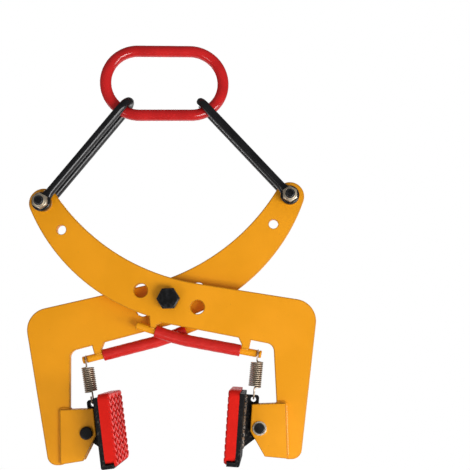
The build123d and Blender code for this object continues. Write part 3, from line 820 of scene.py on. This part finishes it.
# The handle's line, from the elbow where its two straights would meet, below the pivot.
BAR_ELBOW = np.array([14.5, -55.3]) * MM
BAR_SLOPES = np.radians([19.6, 12.4])
BAR_BEND = 200 * MM
BAR_ENDS = (-63.5 * MM, 110 * MM)
BAR_EDGE = 0.9 * MM
SLEEVE_ENDS = (-36.7 * MM, 81.1 * MM)
SLEEVE_LIP = 1.3 * MM
SLEEVE_PLAY = 0.12 * MM  # between a sleeve's bore and its bar
HOOK_REACH = 105 * MM
HOOK_DEPTH = 1.5 * MM
HOOK_EDGES = (2.0 * MM, 1.2 * MM)  # half widths of the groove at its mouth and its floor


def handle_line(reach):
    """The handle's line at distances from its elbow: two straights and an arc tangent to both."""
    inner, outer = BAR_SLOPES
    ways = np.stack([np.cos(BAR_SLOPES), -np.sin(BAR_SLOPES)], -1)
    tangent = BAR_BEND * np.tan((inner - outer) / 2)
    heading = -inner + (inner - outer) * np.clip((reach + tangent) / (2 * tangent), 0, 1)
    arc = np.stack([np.sin(heading) + np.sin(inner), np.cos(inner) - np.cos(heading)], -1)
    before = np.minimum(reach, -tangent)[:, None] * ways[0]
    after = np.maximum(reach - tangent, 0)[:, None] * ways[1]
    flat = BAR_ELBOW + before + BAR_BEND * arc + after
    return arm_space(flat[:, 0], flat[:, 1])


def make_handle(side):
    """A handle bar with its hook groove, and its rubber sleeve, a faintly wavy wall with soft lips.

    Both are tubes on the handle's line. The sleeve's goes out on its skin and back on its bore.
    """
    size = sizes()
    body = jaws[side]
    arm = body.split("_")[0]
    radius = size.bar / 2
    near, far = BAR_ENDS
    rim = BAR_EDGE * np.array([0, 0.15, 0.4, 1])
    reach = np.concatenate([
        near + rim,
        np.linspace(near + 2 * MM, HOOK_REACH - 3 * MM, 90),
        np.linspace(HOOK_REACH - 2.2 * MM, HOOK_REACH + 2.2 * MM, 25),
        far - rim[::-1],
    ])
    from_end = np.clip(np.minimum(reach - near, far - reach) / BAR_EDGE, 0, 1)
    end_cut = BAR_EDGE * (1 - np.sqrt(1 - (1 - from_end) ** 2))
    groove = HOOK_DEPTH * ease(np.abs(reach - HOOK_REACH), *HOOK_EDGES)
    bar = Shape().add(tube(handle_line(reach), radius - end_cut - groove, ACROSS, 40))
    bar_mesh = bar.mesh(f"{arm}_bent_bar", turns[side])
    piece(bar_mesh, "orange_coat", "orange_coat", body, f"{arm}_handle_bar")

    start, end = SLEEVE_ENDS
    lip, lip_rise = np.array(corner_round(size.sleeve / 2, SLEEVE_LIP, 6)).T
    run = np.linspace(start + 2 * MM, end - 2 * MM, 110)
    share = (run - start) / (end - start)
    wave = 0.08 * MM * np.sin(37 * share) + 0.06 * MM * np.sin(83 * share + 1.1) - 0.14 * MM
    inside = np.linspace(end, start, 60)
    bore = np.full_like(inside, radius + SLEEVE_PLAY)
    reach = np.concatenate([start + lip_rise, run, end - lip_rise[::-1], inside])
    radii = np.concatenate([lip, size.sleeve / 2 + wave, lip[::-1], bore])
    heading = handle_line(reach + 0.5 * MM) - handle_line(reach - 0.5 * MM)
    sleeve = Shape().add(tube(handle_line(reach), radii, ACROSS, 40, heading), loop=True)
    sleeve_mesh = sleeve.mesh(f"{arm}_rubber_sleeve", turns[side], crease=50.0)
    piece(sleeve_mesh, "sleeve_rubber", "red_rubber", body, f"{arm}_handle_sleeve")


SPRING_LOOP = 6.6 * MM
SPRING_NECK = 4.0 * MM
LOOP_ARC = np.radians([-115, 90])
EAR_HOLE = (-11 * MM, 37 * MM)  # back and height from the pad's pin
EAR_SEAT = 0.75 * MM  # from the hole's middle to the wire's
BAR_SEAT = 4.9 * MM  # from the bar's middle to the wire's
BEND_FROM = 6 * MM  # below the groove, where a bend would start; make_spring works it out but doesn't use it
BEND_TO = 7 * MM  # above the hole, where it would end; likewise worked out and not used


def spring_line(reach):
    """A spring's wire from hook to hook, on an axis of a reach: loop, neck, coil, neck, loop.

    The loop is part of a circle beside the axis, the neck a straight and a cubic that join it to
    the coil's helix, and the upper end is the lower one turned half round about the middle.
    """
    size = sizes()
    coil = (size.spring_coil - size.spring_wire) / 2
    join = np.arccos(-SPRING_NECK / coil)
    coil_turns = size.spring_turns + 1 - join / np.pi
    start = (reach - coil_turns * size.spring_pitch) / 2
    angle = np.linspace(*LOOP_ARC, 48)
    zero = np.zeros_like(angle)
    lower = np.stack([zero, SPRING_LOOP * np.sin(angle), SPRING_LOOP * (1 - np.cos(angle))], -1)
    first = np.array([0.0, SPRING_LOOP, start - SPRING_NECK])
    straight = np.linspace(lower[-1], first, 6)[1:-1]
    climb = size.spring_pitch / (2 * np.pi)
    last = np.array([coil * np.cos(join), coil * np.sin(join), start])
    pull = 1.1 * SPRING_NECK
    away = unit(np.array([-coil * np.sin(join), coil * np.cos(join), climb]))
    t = np.linspace(0, 1, 16)[:-1, None]
    blend = ((1 - t) ** 3 * first + 3 * t * (1 - t) ** 2 * (first + pull * UP)
             + 3 * t**2 * (1 - t) * (last - pull * away) + t**3 * last)
    ends = np.concatenate([lower, straight, blend])
    turn = np.linspace(join, join + 2 * np.pi * coil_turns, int(52 * coil_turns))
    helix = np.stack([coil * np.cos(turn), coil * np.sin(turn), start + climb * (turn - join)], -1)
    upper = ends[::-1] * np.array([1, -1, -1]) + reach * UP
    return np.concatenate([ends, helix, upper])


def make_spring(side):
    """A pad's return spring from the bar's groove to the lug's ear.

    It is a tube on the wire's line. Each point of the coil notes how far it faces the next turn.
    """
    size = sizes()
    turn = turns[side]
    groove = handle_line(np.array([HOOK_REACH]))[0]
    hole = pad_space(*EAR_HOLE)
    way = unit(groove - hole)
    low = hole + EAR_SEAT * way
    high = groove + BAR_SEAT * way
    side_way = np.cross(FRONT, way)
    line = spring_line(np.linalg.norm(high - low))
    path = low + line @ np.stack([side_way, FRONT, way])
    radius = size.spring_wire / 2
    wire = tube(path, radius, side_way + way, 14)
    mesh = Shape().add(wire).mesh(f"{side}_coil_spring", turn)
    in_coil = np.linalg.norm(line[:, :2], axis=1) > 0.97 * (size.spring_coil - size.spring_wire) / 2
    # How far each point of the coil faces the next turn, for the wire's painted shade.
    gap = np.abs((wire - path[:, None]) @ way) / radius * in_coil[:, None]
    mesh.attributes.new("gap", "FLOAT", "POINT").data.foreach_set("value", gap.ravel())
    thing = piece(mesh, "spring_steel", "spring_steel", None, f"{side}_spring")
    tuple((groove - BEND_FROM * way) * turn)
    tuple((hole + BEND_TO * way) * turn)
    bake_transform(thing)


def tread_wave(out):
    """Height of the tread's zigzag across the pad: a triangle wave with softened corners."""
    size = sizes()
    return size.tread_swing / np.pi * np.arcsin(0.992 * np.cos(np.pi * out / size.tread_wave))


TREAD_ROWS = 14
TREAD_TOP = 2 * MM  # of plain rubber above the highest groove
TREAD_EDGE = 1.36  # half widths of a groove, with its rounded edges


def tread_rows():
    """Heights of the middles of the tread's grooves, from the top down."""
    size = sizes()
    top = PAD_TOP - TREAD_TOP - (size.tread_swing + size.tread_groove) / 2
    return top - size.tread_pitch * np.arange(TREAD_ROWS)


def tread_half():
    """Half a groove's width, measured up the pad, across the zigzag's slope."""
    size = sizes()
    return size.tread_groove / 2 / np.cos(np.arctan(size.tread_swing / size.tread_wave))


def tread_body():
    """A slab with the tread in front: a profile of ribs and grooves, carried along the zigzag."""
    size = sizes()
    rows = tread_rows()
    edge = np.array([1.30, 1.12, 1.02, 0.94, 0.80, 0.62])
    sink = np.array([0.0, 0.05, 0.22, 0.62, 0.90, 1.0])
    offset = np.concatenate([edge, -edge[::-1]]) * tread_half()
    depth = np.concatenate([sink, sink[::-1]]) * size.tread_depth
    top, foot, back, half = np.array([80, -95, -15, 70]) * MM
    heights = np.concatenate([[top, top], (rows[:, None] + offset).ravel(), [foot, foot]])
    sunk = PAD_FACE + np.tile(depth, len(rows))
    backs = np.concatenate([[back, PAD_FACE], sunk, [PAD_FACE, back]])
    out = np.linspace(-half, half, 121)[:, None]
    return pad_space(backs, heights + tread_wave(out), out)


def rubber_body():
    """The pad's block: a rounded rectangle carried from back to face, stepped down past the lip.

    Near the face the rectangle shrinks along a quarter circle, the rim.
    """
    rear, step = -28 * MM, -39.3 * MM
    corner = 9 * MM
    rim = 2.8 * MM
    levels = [(rear, PAD_LIP, 0.0), (step, PAD_LIP, 0.0), (step - 0.05 * MM, PAD_FOOT, 0.0)]
    levels += [(PAD_FACE + rim * (1 - np.sin(a)), PAD_FOOT, rim * (1 - np.cos(a)))
               for a in np.linspace(0, np.pi / 2, 8)]
    sweep = np.linspace(0, np.pi / 2, 9) + np.arange(4)[:, None] * np.pi / 2
    rings = []
    for back, low, inset in levels:
        wide, high, base = PAD_HALF - inset, PAD_TOP - inset, low + inset
        radius = corner - 0.6 * inset
        spots = np.array([(wide, high), (-wide, high), (-wide, base), (wide, base)])
        middles = spots - np.sign(spots) * radius
        outs = (middles[:, :1] + radius * np.cos(sweep)).ravel()
        rise = (middles[:, 1:] + radius * np.sin(sweep)).ravel()
        rings.append(pad_space(back, rise, outs))
    return np.stack(rings)


def reworked(mesh, work):
    """A mesh after some work on its faces and edges."""
    edit = bmesh.new()
    edit.from_mesh(mesh)
    work(edit)
    edit.to_mesh(mesh)
    edit.free()
    return mesh


def outward(edit):
    """Turn a closed mesh's faces outwards."""
    bmesh.ops.recalc_face_normals(edit, faces=edit.faces)


def without_slivers(edit):
    """Split faces into triangles and dissolve those with no area."""
    bmesh.ops.triangulate(edit, faces=edit.faces)
    bmesh.ops.dissolve_degenerate(edit, dist=0.005 * MM, edges=edit.edges)


def mark_tread(mesh):
    """Note on each face corner how far it is a rib's top and how far a groove, from 0 to 1.

    A point is in a groove if its height, less the zigzag's, is within the groove's edge of a row.
    """
    spots = np.empty(3 * len(mesh.vertices))
    mesh.vertices.foreach_get("co", spots)
    origin = pad_space(0.0, 0.0)
    steps = ((1.0, 0.0), (0.0, 1.0), (0.0, 0.0, 1.0))
    axes = np.stack([unit(pad_space(*step) - origin) for step in steps])
    back, height, out = ((spots.reshape(-1, 3) - origin) @ axes.T).T
    sunk = (back - PAD_FACE) / sizes().tread_depth
    from_row = np.abs((height - tread_wave(out))[:, None] - tread_rows()).min(1)
    in_groove = (from_row < TREAD_EDGE * tread_half()) & (sunk < 1.05)
    corners = np.empty(len(mesh.loops), int)
    mesh.loops.foreach_get("vertex_index", corners)
    # The marks place the rubber's painted highlight on rib tops and painted shade in grooves.
    marks = {"rib": np.clip(1 - 5 * sunk, 0, 1), "groove": np.clip(2.5 * sunk, 0, 1) * in_groove}
    for name, mark in marks.items():
        mesh.attributes.new(name, "FLOAT", "CORNER").data.foreach_set("value", mark[corners])


LEAST_FACES = 500  # of a block that the tread has cut


def make_pad_rubbers():
    """The two treaded blocks: what the block and the tread's slab have in common."""
    parts = []
    for name, grid in (("block", rubber_body()), ("tread", tread_body())):
        mesh = Shape().add(grid).mesh(name, crease=None)
        parts.append(bpy.data.objects.new(name, reworked(mesh, outward)))
        bpy.context.scene.collection.objects.link(parts[-1])
    cut = parts[0].modifiers.new("tread", "BOOLEAN")
    cut.operation = "INTERSECT"
    cut.solver = "EXACT"
    cut.object = parts[1]
    graph = bpy.context.evaluated_depsgraph_get()
    block = bpy.data.meshes.new_from_object(parts[0].evaluated_get(graph))
    for part in parts:
        bpy.data.objects.remove(part)
    if len(block.polygons) < LEAST_FACES:
        raise RuntimeError("the tread didn't cut the pad's block")
    mark_tread(reworked(block, without_slivers))
    for side in jaws:
        mesh = block.copy()
        mesh.name = f"{side}_tread_block"
        if side == "left":
            mesh.transform(Matrix.Diagonal((*HALF_TURN, 1.0)))
        soften(mesh, crease=40.0)
        piece(mesh, "red_rubber", "red_rubber", f"{side}_pad", f"{side}_pad_rubber")


def bead(corners, radius, step=0.8 * MM, ripple=3.4 * MM, seed=1):
    """A weld bead: a tube on straight runs, rippled like overlapping drops, with tapered ends."""
    legs = np.linalg.norm(np.diff(corners, axis=0), axis=1)
    mark = np.concatenate([[0], np.cumsum(legs)])
    station = np.linspace(0, mark[-1], max(12, int(mark[-1] / step)))
    path = np.stack([np.interp(station, mark, corners[:, k]) for k in range(3)], -1)
    wave = np.abs(np.sin(np.pi * station / ripple + seed)) ** 0.6
    drift = 0.05 * np.sin(station / (7.3 * MM) + 2.1 * seed)
    taper = np.sqrt(np.clip(np.minimum(station, mark[-1] - station) / radius, 0.02, 1))
    return tube(path, radius * (0.9 + 0.12 * wave + drift) * taper, ACROSS, 16)


# Where welds run: a cheek's edges from its pin, spans along a handle's line, and heights up a pad.
CHEEK_REAR = 35.9 * MM
CHEEK_TOP = 32.4 * MM
CHEEK_FOOT = -39.5 * MM
CHEEK_START = 22.5 * MM
CHEEK_CORNER = 2 * MM
CHEEK_OUT = PLATE_HALF + 0.5 * MM
TAB_SPANS = np.array([(-44.2, -37.4), (81.8, 91.8)]) * MM
TAB_OUT, TAB_RISE = 3.9 * MM, 3.1 * MM
TAB_WELD = 1.7 * MM
LUG_SPAN = np.array([-30, 43]) * MM
LUG_BACK = -21.6 * MM
LUG_OUT = 4.4 * MM
LUG_WELD = 2.5 * MM


def make_welds():
    """Weld beads on both faces: cheeks to legs, tabs to handle bars, and lugs to pad plates."""
    size = sizes()
    pin = pad_pin - pivot
    rear, top, foot = pin[0] + CHEEK_REAR, pin[2] + CHEEK_TOP, pin[2] + CHEEK_FOOT
    edge = [
        (pin[0] + CHEEK_START, top), (rear - CHEEK_CORNER, top),
        (rear, top - CHEEK_CORNER), (rear, foot),
    ]
    for side, body in jaws.items():
        cheek, tabs, lug = Shape(), Shape(), Shape()
        for face in (-1, 1):
            spots = arm_space(*np.transpose(edge), face * CHEEK_OUT)
            cheek.add(bead(spots, size.weld, seed=1 + face))
            for span in TAB_SPANS:
                spots = handle_line(span) + np.array([0, -face * TAB_OUT, TAB_RISE])
                tabs.add(bead(spots, TAB_WELD, seed=3 + face))
            spots = pad_space(LUG_BACK, LUG_SPAN, face * LUG_OUT)
            lug.add(bead(spots, LUG_WELD, seed=5 + face))
        for shape, name, look, slot, carrier in (
            (cheek, f"{side}_cheek", "weld_coat", "orange_coat", body),
            (tabs, f"{body.split('_')[0]}_tab", "weld_coat", "orange_coat", body),
            (lug, f"{side}_lug", "dusty_weld", "black_coat", f"{side}_pad"),
        ):
            piece(shape.mesh(f"{name}_welds", turns[side], crease=60.0), look, slot, carrier)


# Finishes of solids that look otherwise than their slot, by the last word of their names.
NODE_LOOKS = {
    "spacers": "zinc", "spacer": "black_oxide", "washers": "black_oxide", "pin": "black_oxide",
    "ring": "bright_zinc",
}


def dress_nodes():
    """Give every solid the finish of its kind, or else of its slot."""
    slots = {part["node"]: part["material_slot"] for part in frame["record"]["subparts"]}
    for name, node in frame["nodes"].items():
        node.data.materials.clear()
        node.data.materials.append(finish(NODE_LOOKS.get(name.split("_")[-1], slots[name])))


def look_along(view):
    """The camera's place and axes: its view turned by yaw and pitch, then rolled about itself."""
    p, y, r = view.pitch, view.yaw, view.roll
    forward = np.array([np.sin(y) * np.cos(p), np.cos(y) * np.cos(p), np.sin(p)])
    right = unit(np.cross(forward, UP))
    up = np.cross(right, forward)
    axes = [right * np.cos(r) + up * np.sin(r), up * np.cos(r) - right * np.sin(r), -forward]
    turn = Matrix(np.array(axes).T.tolist()).to_4x4()
    return Matrix.Translation(Vector(view.place)) @ turn


def lamp(name, spot, aim, power, width):
    """A plain square lamp at a spot, turned to a point."""
    light = bpy.data.lights.new(name, "AREA")
    light.energy = power
    light.size = width
    thing = bpy.data.objects.new(name, light)
    thing.location = spot
    thing.rotation_euler = (Vector(aim) - Vector(spot)).to_track_quat("-Z", "Y").to_euler()
    bpy.context.scene.collection.objects.link(thing)


FLOOR_DROP = 1.2  # below the part
FLOOR_HALF = 6.0
FLOOR_LINES = 25
FLOOR_GLOW = 0.9  # share of plain white near the part
LAMPS = {  # place, aim and width
    "key": ((1.1, -1.6, -1.15), (0, 0, -0.3), 0.8),
    "fill": ((-0.85, -1.6, -1.25), (0, 0, -0.3), 0.5),
    "side": ((1.5, -0.7, -0.95), (-0.05, 0, -0.45), 0.5),
    "back": ((-0.5, 1.9, 0.4), (0, 0, -0.3), 1.2),
}
ROOM_FRONT = (-0.99, -0.85)  # ways of a ray between which the mirrored room dims to the front
FLOOR_FRONT = (-0.4, 0.6)  # depths between which the mirrored floor brightens
FLOOR_FADE = (2.4, 5.4)  # distances over which the floor turns plain white


def white_room(sky, front):
    """A world that is white to look at, dimmer as mirrored from the front, and soft as a light."""
    world = bpy.data.worlds.new("white_room")
    world.use_nodes = True
    room = Nodes(world.node_tree)
    camera, glossy, through = room.rays()
    way = room.node("ShaderNodeNewGeometry", output="Normal")
    ahead = room.node("ShaderNodeSeparateXYZ", {}, {0: way}, "Y")
    reflected = room.span(ahead, *ROOM_FRONT, 1.0, front)
    strength = sky + (1 - sky) * (camera + through) + glossy * (reflected - sky)
    background = world.node_tree.nodes["Background"]
    background.inputs["Color"].default_value = (1, 1, 1, 1)
    room.plug(background.inputs["Strength"], strength)
    return world


def white_floor(share, front):
    """A white floor: a share of it plain white to rays that see it, the rest lit, for the shadow.

    Far out it is all plain white, so its edges don't show. As mirrored in the object it is dimmer
    in front, as the room is.
    """
    paper = Finish("white_floor", 0.1)
    paper.feed({"Base Color": (0.95, 0.95, 0.95), "Roughness": 0.9})
    camera, glossy, through = paper.rays()
    deep = paper.node("ShaderNodeSeparateXYZ", {}, {0: paper.place}, "Y")
    dimmed = paper.span(deep, *FLOOR_FRONT, 1 - front, 0.0)
    tone = paper.mix(glossy * dimmed, (1, 1, 1), (0, 0, 0))
    white = paper.node("ShaderNodeEmission", {}, {"Color": tone, "Strength": 1.0})
    lit = Shade(paper, paper.shader.outputs[0])
    away = paper.node("ShaderNodeVectorMath", {"operation": "LENGTH"}, {0: paper.place}, "Value")
    plain = paper.span(away, *FLOOR_FADE, share, 1.0)
    seen = plain * (camera + glossy + through)
    both = paper.node("ShaderNodeMixShader", {}, {0: seen, 1: lit, 2: white})
    paper.plug(paper.tree.nodes["Material Output"].inputs["Surface"], both)
    return paper.material


def make_stage():
    """White floor and sky, four lamps and the camera."""
    scene = bpy.context.scene
    view = scene.clamp_view
    scene.view_settings.view_transform = "Standard"
    scene.world = white_room(view.sky, view.front)

    line = np.linspace(-FLOOR_HALF, FLOOR_HALF, FLOOR_LINES)
    across, deep = np.meshgrid(line, line)
    height = np.full_like(across, cad_box[0][2] - FLOOR_DROP)
    points = np.stack([across, deep, height], -1).reshape(-1, 3)
    quads = grid_quads(np.arange(across.size).reshape(across.shape))
    mesh = bpy.data.meshes.new("floor")
    mesh.from_pydata(points, [], quads)
    mesh.materials.append(white_floor(FLOOR_GLOW, view.front))
    floor = bpy.data.objects.new("floor", mesh)
    scene.collection.objects.link(floor)

    for name, (spot, aim, width) in LAMPS.items():
        lamp(name, spot, aim, getattr(view, name), width)

    lens = bpy.data.cameras.new("camera")
    lens.lens = view.lens
    lens.sensor_width = 36.0
    lens.shift_x, lens.shift_y = view.shift
    camera = bpy.data.objects.new("camera", lens)
    camera.matrix_world = look_along(view)
    scene.collection.objects.link(camera)
    scene.camera = camera


class CLAMP_OT_stage(Operator):
    """Set up the white floor, the lamps and the camera"""

    bl_idname = "clamp.stage"
    bl_label = "Stage"

    def execute(self, context):
        make_stage()
        return {"FINISHED"}


class CLAMP_OT_nodes(Operator):
    """Finish the plates, pins and rings that keep their solids"""

    bl_idname = "clamp.nodes"
    bl_label = "Plates and Pins"

    def execute(self, context):
        dress_nodes()
        return {"FINISHED"}


class CLAMP_OT_master_link(Operator):
    """Make the oval master link"""

    bl_idname = "clamp.master_link"
    bl_label = "Master Link"

    def execute(self, context):
        make_master_link()
        return {"FINISHED"}


class CLAMP_OT_links(Operator):
    """Make the two bent-bar links with their bolts and lock nuts"""

    bl_idname = "clamp.links"
    bl_label = "Links"

    def execute(self, context):
        for side in eyes:
            make_link(side)
            make_link_fasteners(side)
        return {"FINISHED"}


class CLAMP_OT_pivot(Operator):
    """Make the pivot bolt and its nut"""

    bl_idname = "clamp.pivot"
    bl_label = "Pivot"

    def execute(self, context):
        make_pivot_fasteners()
        return {"FINISHED"}


class CLAMP_OT_handles(Operator):
    """Make the handle bars with their rubber sleeves"""

    bl_idname = "clamp.handles"
    bl_label = "Handles"

    def execute(self, context):
        for side in jaws:
            make_handle(side)
        return {"FINISHED"}


class CLAMP_OT_pads(Operator):
    """Make the treaded rubber blocks of the pads"""

    bl_idname = "clamp.pads"
    bl_label = "Pads"

    def execute(self, context):
        make_pad_rubbers()
        return {"FINISHED"}


class CLAMP_OT_springs(Operator):
    """Make the pads' return springs"""

    bl_idname = "clamp.springs"
    bl_label = "Springs"

    def execute(self, context):
        for side in jaws:
            make_spring(side)
        return {"FINISHED"}


class CLAMP_OT_welds(Operator):
    """Make the weld beads"""

    bl_idname = "clamp.welds"
    bl_label = "Welds"

    def execute(self, context):
        make_welds()
        return {"FINISHED"}


STEPS = (
    CLAMP_OT_stage, CLAMP_OT_nodes, CLAMP_OT_master_link, CLAMP_OT_links, CLAMP_OT_pivot,
    CLAMP_OT_handles, CLAMP_OT_pads, CLAMP_OT_springs, CLAMP_OT_welds,
)


class CLAMP_PT_steps(Panel):
    """Lists the clamp's building steps"""

    bl_idname = "CLAMP_PT_steps"
    bl_label = "Stone Lifting Clamp"
    bl_space_type = "VIEW_3D"
    bl_region_type = "UI"
    bl_category = "Clamp"

    def draw(self, context):
        for step in STEPS:
            self.layout.operator(step.bl_idname)


GROUPS = {"clamp_sizes": ClampSizes, "clamp_colours": ClampColours, "clamp_view": ClampView}


def register():
    """Register the classes and hang the settings on the scene."""
    for group in (*GROUPS.values(), *STEPS, CLAMP_PT_steps):
        bpy.utils.register_class(group)
    for name, group in GROUPS.items():
        setattr(bpy.types.Scene, name, PointerProperty(type=group))


def unregister():
    """Undo register."""
    for name in GROUPS:
        delattr(bpy.types.Scene, name)
    for group in (CLAMP_PT_steps, *reversed(STEPS), *reversed(GROUPS.values())):
        bpy.utils.unregister_class(group)


def main():
    """Build everything in order."""
    register()
    for step in STEPS:
        getattr(bpy.ops.clamp, step.bl_idname.split(".")[1])()


if __name__ == "__main__":
    main()
